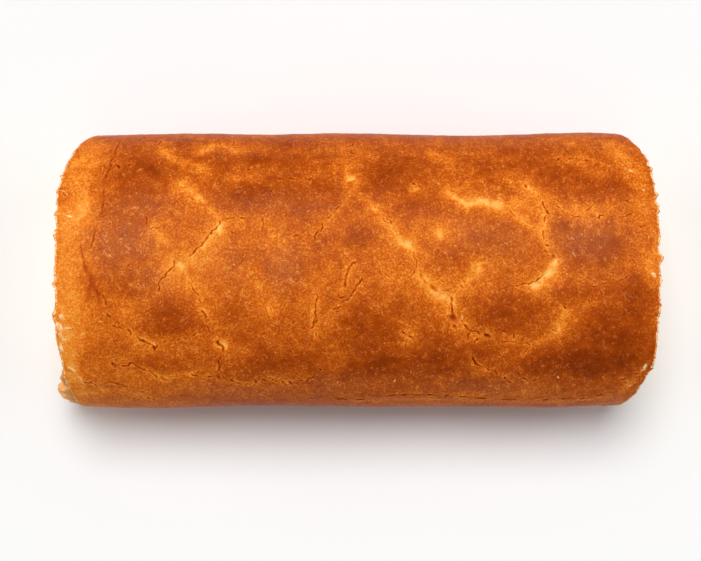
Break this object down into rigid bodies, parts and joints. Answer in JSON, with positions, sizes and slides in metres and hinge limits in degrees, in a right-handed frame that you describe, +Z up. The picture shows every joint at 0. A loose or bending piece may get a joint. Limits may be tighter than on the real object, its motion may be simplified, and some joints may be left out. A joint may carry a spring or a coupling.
{
  "type": "swiss roll",
  "caption": "Oblong rolled sponge cake with a browned, cracked skin and a spiral layer of cream that shows at its open ends, lying flat on its seam.",
  "frame": {"origin": "middle of the flat base, on the surface that the roll lies on", "axes": "+X along the roll, +Z up, -Y towards the side where the sheet's outer edge is tucked under"},
  "size_m": [0.2758, 0.1302, 0.0827],
  "materials": {
    "sponge": "satin browned skin over an open pale crumb",
    "cream": "soft satin"
  },
  "bodies": {
    "root": {"sponge_sheet": "sponge", "cream_filling": "cream"}
  },
  "joints": []
}
